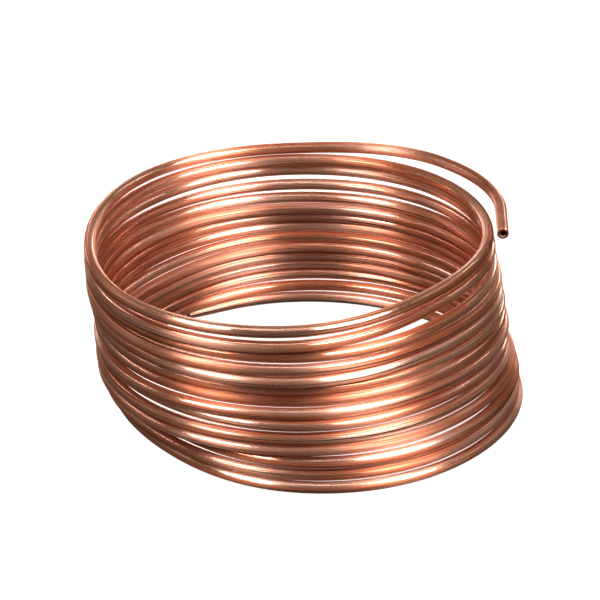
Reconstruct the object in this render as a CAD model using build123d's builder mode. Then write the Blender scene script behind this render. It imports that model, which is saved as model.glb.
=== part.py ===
"""Copper tube coil: one length of soft round tube, wound into a loose coil that lies on its bottom turn."""

import math
import os

from build123d import *

# The tube's section, and the straight stretch that is left at each sawn end
tube_diameter = 3.175
bore_diameter = 1.65
end_run = 12.0

# Distance from the axis that the tube was wound about to the middle of the tube
winding_radius = 54.35

# The tube runs down from the top turn by the front, the right, the back and the left, over and over.
# Each row below is for one side and goes from the top turn down, in shares of the tube's diameter.
# The first places at the front and the front right lie past the top end of the tube and only steer it.
# The last places at the left and the front left do the same for the lower end.

# Height of the tube's middle above the floor: the turns lie loosely, some pressed together and some apart
front_height_shares = (11, 15.05, 13.7, 12.6, 11.5, 10.45, 9.42, 8.4, 7.45, 6.4, 5.2, 4.05, 2.85, 1.64, 0.55)
right_height_shares = (15.8, 15.25, 13.95, 12.55, 11.1, 10.05, 9, 7.94, 6.9, 5.84, 4.82, 3.8, 2.77, 1.73, 0.5)
back_height_shares = (15.73, 14.68, 13.55, 12.11, 10.8, 9.8, 8.78, 7.74, 6.7, 5.71, 4.72, 3.7, 2.68, 1.62, 0.5)
left_height_shares = (15.46, 14.22, 13.17, 11.9, 10.75, 9.7, 8.62, 7.58, 6.54, 5.46, 4.35, 3.31, 2.28, 1.26, 0.5)

# How far the tube's middle stands out from the winding radius: the stack has slid to the right on its way
# down, the top turns are a little flat at the front right, the others at the back left, and some are tucked in
front_reach_shares = (0, 0.1, 0.1, -0.2, 0, 0.15, -0.6, -0.45, 0, 0.1, 0.1, 0, -0.2, -0.25, -0.1)
front_right_reach_shares = (-9.5, -1.2, -1.3, -0.55, -0.7, -0.55, -0.5, -0.25, 0.1, 0.3, 0.6, 0.95, 1.4, 1.5, 1.8)
right_reach_shares = (0.55, -0.1, 0.1, 0.35, 0.75, 0.9, 1.1, 1.2, 1.5, 1.5, 1.7, 2.2, 2.5, 2.6, 2.9)
back_right_reach_shares = (1.95, 0.4, 0.75, 0.8, 1, 0.85, 1.15, 1.45, 1.35, 1.2, 1.55, 1.8, 1.9, 1.65, 1.5)
back_reach_shares = (0, -0.2, 0.1, 0, 0, -0.3, 0.25, 0.35, 0.2, -0.05, 0.3, 0.55, 0.45, 0.1, 0)
back_left_reach_shares = (0, -0.3, -0.5, -0.55, -0.5, -0.7, -0.75, -0.9, -1.25, -1.6, -1.6, -1.35, -1.4, -1.5, -1.2)
left_reach_shares = (-0.2, -0.2, -0.2, -0.25, -0.4, -0.6, -0.8, -0.8, -0.75, -0.9, -1, -1.2, -1.4, -2, -1.6)
front_left_reach_shares = (0.8, 0.75, 0.3, 0.4, 0.1, -0.25, -0.3, 0.2, -0.6, -0.2, -0.3, -2.1, -1.7, -2.1, -1.5)

# Where the winding starts and stops, in turns from the first place at the front
first_turn_share = 0.275
last_turn_share = 14.56

# How finely the winding is laid out: each bend is two arcs that run on from each other without a kink
bends_per_turn = 8


def in_turn(*rows):
    """The sides' rows as one list, in the order that the tube passes the sides."""
    return [share for turn in zip(*rows) for share in turn]


heights = in_turn(front_height_shares, right_height_shares, back_height_shares, left_height_shares)
reaches = in_turn(
    front_reach_shares,
    front_right_reach_shares,
    right_reach_shares,
    back_right_reach_shares,
    back_reach_shares,
    back_left_reach_shares,
    left_reach_shares,
    front_left_reach_shares,
)


def smooth(values, turn):
    """A smooth curve through values that are spaced evenly over all the turns, read after so many turns."""
    place = turn * len(values) / len(front_height_shares)
    step = min(max(math.floor(place), 1), len(values) - 3)
    before, start, end, after = values[step - 1 : step + 3]
    part = place - step
    bend = 2 * before - 5 * start + 4 * end - after
    twist = 3 * (start - end) + after - before
    return start + part * (end - before + part * (bend + part * twist)) / 2


def tube_middle(turn):
    """The tube's middle after so many turns; the front is where Y is lowest."""
    angle = turn * 2 * math.pi - math.pi / 2
    radius = winding_radius + tube_diameter * smooth(reaches, turn)
    return Vector(radius * math.cos(angle), radius * math.sin(angle), tube_diameter * smooth(heights, turn))


def heading(turn):
    """The way the tube runs at a place on the winding."""
    nearby = 1 / (bends_per_turn * bends_per_turn * bends_per_turn)
    return (tube_middle(turn + nearby) - tube_middle(turn - nearby)).normalized()


def meeting_place(start, start_way, end, end_way):
    """Where the two arcs of a bend meet that leads smoothly from one place and way to another."""
    gap = end - start
    both_ways = start_way + end_way
    turned = 2 * (1 - start_way.dot(end_way))
    ahead = gap.dot(both_ways)
    leg = (math.sqrt(ahead * ahead + turned * gap.dot(gap)) - ahead) / turned
    return (start + end + leg * (start_way - end_way)) / 2


with BuildPart() as coil:
    with BuildLine() as route:
        spot = tube_middle(first_turn_share)
        way = heading(first_turn_share)
        Line(spot - end_run * way, spot)
        bends = round((last_turn_share - first_turn_share) * bends_per_turn)
        for bend_number in range(bends):
            share_done = (bend_number + 1) / bends
            turn = first_turn_share + share_done * (last_turn_share - first_turn_share)
            bend_end = tube_middle(turn)
            for goal in (meeting_place(spot, way, bend_end, heading(turn)), bend_end):
                arc = TangentArc(spot, goal, tangent=way)
                spot = arc @ 1
                way = arc % 1
        Line(spot, spot + end_run * way)
    with BuildSketch(Plane(origin=route.line @ 0, z_dir=route.line % 0)) as section:
        Circle(tube_diameter / 2)
        Circle(bore_diameter / 2, mode=Mode.SUBTRACT)
    sweep(path=route.line)

# The coil is set down with the middle of its box over the origin and its lowest turn on the floor
box = coil.part.bounding_box()
set_down = Pos(-box.center().X, -box.center().Y, -box.min.Z)
tube = set_down * coil.part
tube.label = "tube"

os.makedirs("parts", exist_ok=True)
export_step(tube, "parts/tube.step")

length = sum(edge.length for edge in route.edges())
print(f"tube length {length:.1f} mm, volume {tube.volume:.1f} mm3, set down by {set_down.position}")
for name, place in (("top end", 0), ("lower end", 1)):
    print(name, (set_down * Location(route.line @ place)).position, route.line % place)
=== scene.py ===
# %% [markdown]
# # A coil of copper tube
# This scene dresses one part: a length of thin soft copper tube, wound by hand into a loose coil.
# The imported solid is the fixed frame, and everything made here sits in that frame, in metres.
# We load it first, and print the dressed tube's size once it is built.

# %% Load the imported part
import math

import bpy
import numpy as np
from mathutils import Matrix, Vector


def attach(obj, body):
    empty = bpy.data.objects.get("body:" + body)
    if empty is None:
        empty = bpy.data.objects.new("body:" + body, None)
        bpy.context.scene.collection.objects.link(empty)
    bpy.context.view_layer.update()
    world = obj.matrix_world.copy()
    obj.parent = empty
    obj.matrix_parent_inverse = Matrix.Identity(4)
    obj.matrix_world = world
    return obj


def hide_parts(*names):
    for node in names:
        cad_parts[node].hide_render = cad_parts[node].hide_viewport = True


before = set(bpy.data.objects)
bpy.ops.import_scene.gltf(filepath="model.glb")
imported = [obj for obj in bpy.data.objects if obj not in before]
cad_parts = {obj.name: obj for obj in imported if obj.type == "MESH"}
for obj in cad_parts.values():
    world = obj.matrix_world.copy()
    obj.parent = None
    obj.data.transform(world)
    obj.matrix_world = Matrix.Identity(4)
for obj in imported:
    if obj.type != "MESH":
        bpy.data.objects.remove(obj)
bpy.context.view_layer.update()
scene = bpy.context.scene
mm = 0.001

# %% [markdown]
# ## How the tube lies
# The tube's line could be a plain helix, but no hand-wound coil is one: its turns are pressed together in
# some places and stand apart in others, and the stack leans.
# So the line is written down as a few rows of numbers, one row for each side that the tube passes on its way
# down.
# A height says how high the middle of the tube lies, and a reach how far it stands out from the winding
# radius.
# Both are in shares of the tube's diameter, from the top turn down, as in the solid's source.
# The first places at the front and the front right lie past the tube's top end, and the last at the left and
# the front left past its lower end: they only steer the ends.

# %% The tube's sizes and the rows of the winding
tube_diameter = 3.175 * mm
bore_diameter = 1.65 * mm
end_run = 12 * mm
winding_radius = 54.35 * mm
first_turn_share = 0.275
last_turn_share = 14.56

height_shares = {
    "front": (11, 15.05, 13.7, 12.6, 11.5, 10.45, 9.42, 8.4, 7.45, 6.4, 5.2, 4.05, 2.85, 1.64, 0.55),
    "right": (15.8, 15.25, 13.95, 12.55, 11.1, 10.05, 9, 7.94, 6.9, 5.84, 4.82, 3.8, 2.77, 1.73, 0.5),
    "back": (15.73, 14.68, 13.55, 12.11, 10.8, 9.8, 8.78, 7.74, 6.7, 5.71, 4.72, 3.7, 2.68, 1.62, 0.5),
    "left": (15.46, 14.22, 13.17, 11.9, 10.75, 9.7, 8.62, 7.58, 6.54, 5.46, 4.35, 3.31, 2.28, 1.26, 0.5),
}
reach_shares = {
    "front": (0, 0.1, 0.1, -0.2, 0, 0.15, -0.6, -0.45, 0, 0.1, 0.1, 0, -0.2, -0.25, -0.1),
    "front right": (-9.5, -1.2, -1.3, -0.55, -0.7, -0.55, -0.5, -0.25, 0.1, 0.3, 0.6, 0.95, 1.4, 1.5, 1.8),
    "right": (0.55, -0.1, 0.1, 0.35, 0.75, 0.9, 1.1, 1.2, 1.5, 1.5, 1.7, 2.2, 2.5, 2.6, 2.9),
    "back right": (1.95, 0.4, 0.75, 0.8, 1, 0.85, 1.15, 1.45, 1.35, 1.2, 1.55, 1.8, 1.9, 1.65, 1.5),
    "back": (0, -0.2, 0.1, 0, 0, -0.3, 0.25, 0.35, 0.2, -0.05, 0.3, 0.55, 0.45, 0.1, 0),
    "back left": (0, -0.3, -0.5, -0.55, -0.5, -0.7, -0.75, -0.9, -1.25, -1.6, -1.6, -1.35, -1.4, -1.5, -1.2),
    "left": (-0.2, -0.2, -0.2, -0.25, -0.4, -0.6, -0.8, -0.8, -0.75, -0.9, -1, -1.2, -1.4, -2, -1.6),
    "front left": (0.8, 0.75, 0.3, 0.4, 0.1, -0.25, -0.3, 0.2, -0.6, -0.2, -0.3, -2.1, -1.7, -2.1, -1.5),
}
places = len(height_shares["front"])
print("the winding goes", round(last_turn_share - first_turn_share, 2), "times round")

# %% [markdown]
# ## A smooth line through the rows
# Straight steps between the rows' places would look like bent wire.
# So the values are joined by a cubic curve, which goes through every one of them with the slope that its two
# neighbours give, and bends as springy tube does.
# Each end of the tube runs straight for a short stretch, as it came off the saw.

# %% The line that the middle of the tube follows
def smooth(rows, turns):
    """Reads a smooth curve through the rows, taken side after side, at many places along the winding."""
    values = np.array(list(rows.values()), float).T.ravel()
    spots = turns * len(values) / places
    step = np.clip(np.floor(spots).astype(int), 1, len(values) - 3)
    part = spots - step
    before, start, end, after = (values[step + shift] for shift in (-1, 0, 1, 2))
    bend = 2 * before - 5 * start + 4 * end - after
    twist = 3 * (start - end) + after - before
    return start + part * (end - before + part * (bend + part * twist)) / 2


def winding(turns):
    """The middle of the tube at many places along the winding; the front is where Y is lowest."""
    angle = turns * 2 * math.pi - math.pi / 2
    radius = winding_radius + tube_diameter * smooth(reach_shares, turns)
    height = tube_diameter * smooth(height_shares, turns)
    return np.stack([radius * np.cos(angle), radius * np.sin(angle), height], axis=1)


ring_step = 2 * mm
turn_length = 2 * math.pi * winding_radius
ring_count = round((last_turn_share - first_turn_share) * turn_length / ring_step)
wound = winding(np.linspace(first_turn_share, last_turn_share, ring_count))
top_way = (wound[0] - wound[1]) / np.linalg.norm(wound[0] - wound[1])
low_way = (wound[-1] - wound[-2]) / np.linalg.norm(wound[-1] - wound[-2])
run = np.arange(ring_step, end_run + ring_step / 2, ring_step)[:, None]
line = np.concatenate([wound[0] + run[::-1] * top_way, wound, wound[-1] + run * low_way])
print("the line has", len(line), "places")

# %% [markdown]
# ## The tube as one closed skin
# Blender can give a curve a round bevel, but that makes no bore and no sawn ends, and it leaves no note of
# how far along the tube a point lies.
# So the skin is made ring by ring: down the outside, round the sawn lower end, back up through the bore, and
# round the upper end to where it began.
# Each ring is turned as little as possible from the one before, so that lines along the tube stay along it.
# Every point also keeps its place in the straight tube as it was drawn, before anyone wound it: that place
# steers the marks in the copper later.

# %% The tube's direction and its sides at each place
steps = np.diff(line, axis=0)
distance = np.concatenate([[0], np.cumsum(np.linalg.norm(steps, axis=1))])
ways = np.gradient(line, distance, axis=0)
ways /= np.linalg.norm(ways, axis=1)[:, None]

sideways = np.zeros_like(ways)
side = np.array([0.0, 0.0, 1.0])
for number, way in enumerate(ways):
    side = side - way * side.dot(way)
    side /= np.linalg.norm(side)
    sideways[number] = side
across = np.cross(ways, sideways)
tube_length = distance[-1]
print("the tube is", round(tube_length, 3), "m long")

# %% The rings of the skin
sides_round = 30
edge_break = 0.06 * mm
outer = tube_diameter / 2
inner = bore_diameter / 2
last = len(line) - 1

# The bore shows at the ends only, so only every fifth place along the line gets a ring in it
bore_step = 5

# Each ring has its place on the line, its radius, and how far it is drawn in from the end's plane
rings = [(0, outer - edge_break, 0.0), (0, outer, edge_break)]
rings += [(number, outer, 0.0) for number in range(1, last)]
rings += [(last, outer, -edge_break), (last, outer - edge_break, 0.0)]
rings += [(last, inner + edge_break, 0.0), (last, inner, -edge_break)]
rings += [(number, inner, 0.0) for number in range(last - bore_step, 0, -bore_step)]
rings += [(0, inner, edge_break), (0, inner + edge_break, 0.0)]
print("the skin has", len(rings), "rings of", sides_round, "points")

# %% The points of the wound tube and of the straight one
spots = np.array([ring[0] for ring in rings])
radii = np.array([ring[1] for ring in rings])[:, None]
drawn_in = np.array([ring[2] for ring in rings])[:, None]
angles = np.arange(sides_round) * 2 * math.pi / sides_round
upward = radii * np.cos(angles)
outward = radii * np.sin(angles)
middles = line[spots] + drawn_in * ways[spots]
wound_points = (
    middles[:, None]
    + upward[..., None] * sideways[spots][:, None]
    + outward[..., None] * across[spots][:, None]
)
points = wound_points.reshape(-1, 3)
lengthwise = np.broadcast_to(distance[spots][:, None] + drawn_in, upward.shape)
straight = np.stack([lengthwise, upward, outward], axis=2)

# The skin is set down as the solid is: middle of the box over the origin, lowest turn on the floor
low, high = points.min(axis=0), points.max(axis=0)
set_down = np.array([-(low[0] + high[0]) / 2, -(low[1] + high[1]) / 2, -low[2]])
points += set_down
print("the skin is set down by", (set_down / mm).round(3), "mm")

# %% The faces between the rings
ring_numbers = np.arange(len(rings))[:, None]
side_numbers = np.arange(sides_round)[None, :]
next_ring = (ring_numbers + 1) % len(rings)
next_side = (side_numbers + 1) % sides_round
corners = [
    (ring_numbers, side_numbers),
    (ring_numbers, next_side),
    (next_ring, next_side),
    (next_ring, side_numbers),
]
faces = np.stack([ring * sides_round + around for ring, around in corners], axis=2).reshape(-1, 4)

# The unrolled map: each corner's share of the way round the tube, and of the way along it
sides_of_face = [side_numbers, side_numbers + 1, side_numbers + 1, side_numbers]
round_share = np.stack(sides_of_face, axis=2) / sides_round
along = lengthwise / tube_length
next_along = along[next_ring[:, 0]]
along_share = np.stack([along, along, next_along, next_along], axis=2)
flat = np.stack([np.broadcast_to(round_share, along_share.shape), along_share], axis=3)
print("the skin has", 2 * len(faces), "triangles")

# %% The tube in the scene
sharp_edge = math.radians(30)
mesh = bpy.data.meshes.new("copper_tube")
mesh.from_pydata(points.tolist(), [], faces.tolist())
mesh.attributes.new("straight_tube", "FLOAT_VECTOR", "POINT").data.foreach_set("vector", straight.ravel())
mesh.uv_layers.new(name="unrolled").data.foreach_set("uv", flat.ravel())
mesh.shade_smooth()
mesh.set_sharp_from_angle(angle=sharp_edge)
tube = bpy.data.objects.new("copper_tube", mesh)
scene.collection.objects.link(tube)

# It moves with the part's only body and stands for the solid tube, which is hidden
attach(tube, "root")
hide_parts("tube")
print("the tube in the scene is", (np.array(tube.dimensions) / mm).round(2), "mm")

# %% [markdown]
# ## Helpers for materials
# A node material is a small web: nodes with settings, and links between their sockets.
# One function that adds a node, sets it and links it keeps each material readable as a list of its nodes.
# Colours are written as screen hex values, because that is how we read them, and made linear light here.

# %% Helpers for colours and nodes
def linear(hex_colour):
    """A screen colour such as C87850 as linear light with full opacity."""
    parts = [int(hex_colour[place : place + 2], 16) / 255 for place in (0, 2, 4)]
    return [part / 12.92 if part <= 0.04045 else ((part + 0.055) / 1.055) ** 2.4 for part in parts] + [1.0]


def add_node(tree, kind, settings=None, values=None, links=None):
    """Adds a node with its settings, its sockets' values and what feeds its sockets."""
    node = tree.nodes.new(kind)
    for name, setting in (settings or {}).items():
        setattr(node, name, setting)
    for name, value in (values or {}).items():
        node.inputs[name].default_value = value
    for name, source in (links or {}).items():
        tree.links.new(source, node.inputs[name])
    return node


# %% [markdown]
# ## Drawn copper
# Soft copper tube is pulled through a die, which leaves it bright with very fine lines along its length.
# The lines scatter light round the tube but hardly along it, so a lamp shows as a streak that spreads over
# the tube's side and ends sharply along its length.
# A rougher or a smoother metal can't do that, so the shine is anisotropic, with its tangent round the tube.
# Smooth lines give a narrow white streak, and rough ones a broad warm glow round it.
# Handling and air dull the copper unevenly: its colour goes from pink to a warmer brown in long soft patches,
# and a fine grain of tarnish breaks up the streaks a little.
# The real lines are a few hundredths of a millimetre apart, and the grain is as fine.
# Both are too fine for the picture, so they are drawn about ten times as coarse.
# All patterns read the place in the straight tube, so they follow the tube round every turn.

# %% The copper's patterns
# Bare drawn copper: the eye sees bright metal with silky streaks that run along the tube
copper = bpy.data.materials.new("drawn_copper")
copper.use_nodes = True
web = copper.node_tree
web.nodes.clear()
place = add_node(web, "ShaderNodeAttribute", {"attribute_name": "straight_tube"}).outputs["Vector"]

# How long each kind of mark is along the tube and how wide round it, and how many finer marks it holds
mark_sizes = {
    "draw lines": (80 * mm, 0.4 * mm, 2.0),
    "patches": (45 * mm, 4 * mm, 4.0),
    "grain": (0.9 * mm, 0.3 * mm, 2.0),
}
marks = {}
for name, (length, width, detail) in mark_sizes.items():
    size = (1 / length, 1 / width, 1 / width)
    drawn_out = add_node(web, "ShaderNodeMapping", None, {"Scale": size}, {"Vector": place})
    fineness = {"Scale": 1.0, "Detail": detail}
    noise = add_node(web, "ShaderNodeTexNoise", None, fineness, {"Vector": drawn_out.outputs["Vector"]})
    marks[name] = noise.outputs["Fac"]
print("the copper's patterns:", ", ".join(marks))

# %% The copper's colour
dull_brown = linear("E2A081")
bright_pink = linear("FCD8C8")

# Two noises added up lie mostly within this much of 1, so that stretch runs from one colour to the other
both_spread = 0.16
coloured_marks = {0: marks["patches"], 1: marks["draw lines"]}
both_marks = add_node(web, "ShaderNodeMath", {"operation": "ADD"}, None, coloured_marks)
colour_limits = {"From Min": 1 - both_spread, "From Max": 1 + both_spread}
evenly = add_node(web, "ShaderNodeMapRange", None, colour_limits, {"Value": both_marks.outputs["Value"]})
tones = add_node(web, "ShaderNodeValToRGB", None, None, {"Fac": evenly.outputs["Result"]})
for stop, tone in zip(tones.color_ramp.elements, (dull_brown, bright_pink)):
    stop.color = tone
print("the copper's colours, as linear light:", np.round([dull_brown, bright_pink], 2).tolist())

# %% The copper's shine
# Each pattern's share of the roughness, at the low and the high end of its noise
roughness_shares = {"draw lines": (0.74, 0.2), "grain": (-0.02, 0.02)}

# One noise lies mostly within this much of a half, so that stretch runs from the low end to the high end
noise_spread = 0.13
noise_limits = {"From Min": 0.5 - noise_spread, "From Max": 0.5 + noise_spread}
dullness = []
for name, (low_end, high_end) in roughness_shares.items():
    limits = noise_limits | {"To Min": low_end, "To Max": high_end}
    spread = add_node(web, "ShaderNodeMapRange", None, limits, {"Value": marks[name]})
    dullness.append(spread.outputs["Result"])
dull = add_node(web, "ShaderNodeMath", {"operation": "ADD"}, None, {0: dullness[0], 1: dullness[1]})

groove_depth = 0.05 * mm
grooves = add_node(web, "ShaderNodeBump", None, {"Distance": groove_depth}, {"Height": marks["draw lines"]})
round_the_tube = add_node(web, "ShaderNodeTangent", {"direction_type": "UV_MAP", "uv_map": "unrolled"})
shine = add_node(
    web,
    "ShaderNodeBsdfPrincipled",
    None,
    {"Metallic": 1.0, "Anisotropic": 0.9},
    {
        "Base Color": tones.outputs["Color"],
        "Roughness": dull.outputs["Value"],
        "Normal": grooves.outputs["Normal"],
        "Tangent": round_the_tube.outputs["Tangent"],
    },
)
add_node(web, "ShaderNodeOutputMaterial", None, None, {"Surface": shine.outputs["BSDF"]})
mesh.materials.append(copper)
print("the copper has", len(web.nodes), "nodes")

# %% [markdown]
# ## The floor
# The coil stands on a light table, a white sheet that is lit from below: that keeps the floor white with
# hardly any shadow, as in a catalogue picture.
# White paper under the lamps would do as well, but its shadow would be darker than in the picture.
# The sheet would also light the undersides of the turns, which are dark on the real coil, so it is left out
# of the reflections.

# %% The floor
floor_size = 6.0
floor_mesh = bpy.data.meshes.new("floor")
half = floor_size / 2
floor_corners = [(-half, -half, 0), (half, -half, 0), (half, half, 0), (-half, half, 0)]
floor_mesh.from_pydata(floor_corners, [], [(0, 1, 2, 3)])
floor = bpy.data.objects.new("floor", floor_mesh)
scene.collection.objects.link(floor)
floor.visible_glossy = False

# Opal acrylic, cast with a matt face and lit from behind: the eye sees plain white with hardly any shadow
acrylic = bpy.data.materials.new("opal_acrylic")
acrylic.use_nodes = True
sheet = acrylic.node_tree.nodes["Principled BSDF"]
sheet.inputs["Base Color"].default_value = linear("808080")
sheet.inputs["Roughness"].default_value = 0.9
sheet.inputs["Emission Color"].default_value = linear("FFFFFF")
sheet.inputs["Emission Strength"].default_value = 0.9
floor_mesh.materials.append(acrylic)
print("the floor is", floor_size, "m wide")

# %% [markdown]
# ## The lamps
# Bright metal shows what stands around it more than its own colour, so each lamp is there for something that
# the tube shows.
# Two softboxes, at the front left and the front right, make the two bright bands, and the darker room between
# them makes the dark band at the front.
# A slim box overhead, a strip at each side and a low bright backdrop draw the thin line along the top of
# every turn.
# Rectangles would do the same, but the rounded outline of an ellipse gives the bands softer ends.

# %% The lamps
# Each lamp's way is in degrees to the right of straight in front, and up is in degrees above the floor.
# Its size is in metres, and it faces the coil
lamps = {
    "left_softbox": {"way": -44, "up": 41, "size": (0.6, 0.48), "watts": 6.7},
    "right_softbox": {"way": 52, "up": 41, "size": (0.8, 0.5), "watts": 13.4},
    "top_softbox": {"way": 0, "up": 70, "size": (1.8, 0.16), "watts": 3.0},
    "left_strip": {"way": -108, "up": 36, "size": (1.2, 0.06), "watts": 1.2},
    "right_strip": {"way": 112, "up": 36, "size": (1.0, 0.06), "watts": 0.8},
    "backdrop": {"way": 180, "up": 10, "size": (2.6, 0.22), "watts": 7.5},
}
lamp_distance = 1.2
for name, lamp in lamps.items():
    light = bpy.data.lights.new(name, "AREA")
    light.shape = "ELLIPSE"
    light.size, light.size_y = lamp["size"]
    light.energy = lamp["watts"]
    holder = bpy.data.objects.new(name, light)
    turned, raised = math.radians(lamp["way"]), math.radians(lamp["up"])
    out = math.cos(raised)
    ray = Vector((math.sin(turned) * out, -math.cos(turned) * out, math.sin(raised)))
    holder.location = lamp_distance * ray
    holder.rotation_euler = (-ray).to_track_quat("-Z", "Y").to_euler()
    scene.collection.objects.link(holder)

print("the stage has", len(lamps), "lamps")

# %% [markdown]
# ## The room
# Between the lamps, the tube shows a dim warm room.
# It could be one even grey, but then the undersides of the turns would be as bright as their tops, so it is
# darker below than above, with a soft change at the horizon.
# The picture's tone is then made steeper, as in a catalogue print: deep shadows and rich copper.

# %% The room and the picture's tone
below, above = 0.13, 0.33
soft_change = 0.4
room = bpy.data.worlds.new("room")
scene.world = room
room.use_nodes = True
air = room.node_tree
walls = air.nodes["Background"]
walls.inputs["Color"].default_value = linear("FFF4E2")
way_out = add_node(air, "ShaderNodeTexCoord").outputs["Generated"]
rise = add_node(air, "ShaderNodeSeparateXYZ", None, None, {"Vector": way_out}).outputs["Z"]
room_limits = {"From Min": -soft_change, "From Max": soft_change, "To Min": below, "To Max": above}
glow = add_node(air, "ShaderNodeMapRange", None, room_limits, {"Value": rise})
air.links.new(glow.outputs["Result"], walls.inputs["Strength"])

scene.view_settings.view_transform = "Standard"
scene.view_settings.gamma = 0.68
print("the room is", below, "bright below and", above, "above")

# %% [markdown]
# ## The camera
# The picture was taken from straight in front, looking down on the coil, through a long lens that keeps the
# turns almost parallel.
# A long lens a good way off gives the same shapes: the sensor width and the lens set how much is in view.

# %% The camera
picture_width = 600
focal_pixels = 2691
elevation = math.radians(27.35)
away = 740 * mm
aimed_at = Vector((3.0 * mm, 0, 28.6 * mm)) + Vector(set_down)

eye = bpy.data.cameras.new("camera")
eye.sensor_width = 36.0
eye.lens = eye.sensor_width * focal_pixels / picture_width
eye.clip_start = 10 * mm
camera = bpy.data.objects.new("camera", eye)
camera.location = aimed_at + away * Vector((0, -math.cos(elevation), math.sin(elevation)))
camera.rotation_euler = (aimed_at - camera.location).to_track_quat("-Z", "Y").to_euler()
scene.collection.objects.link(camera)
scene.camera = camera
print("the lens is", round(eye.lens, 1), "mm long")
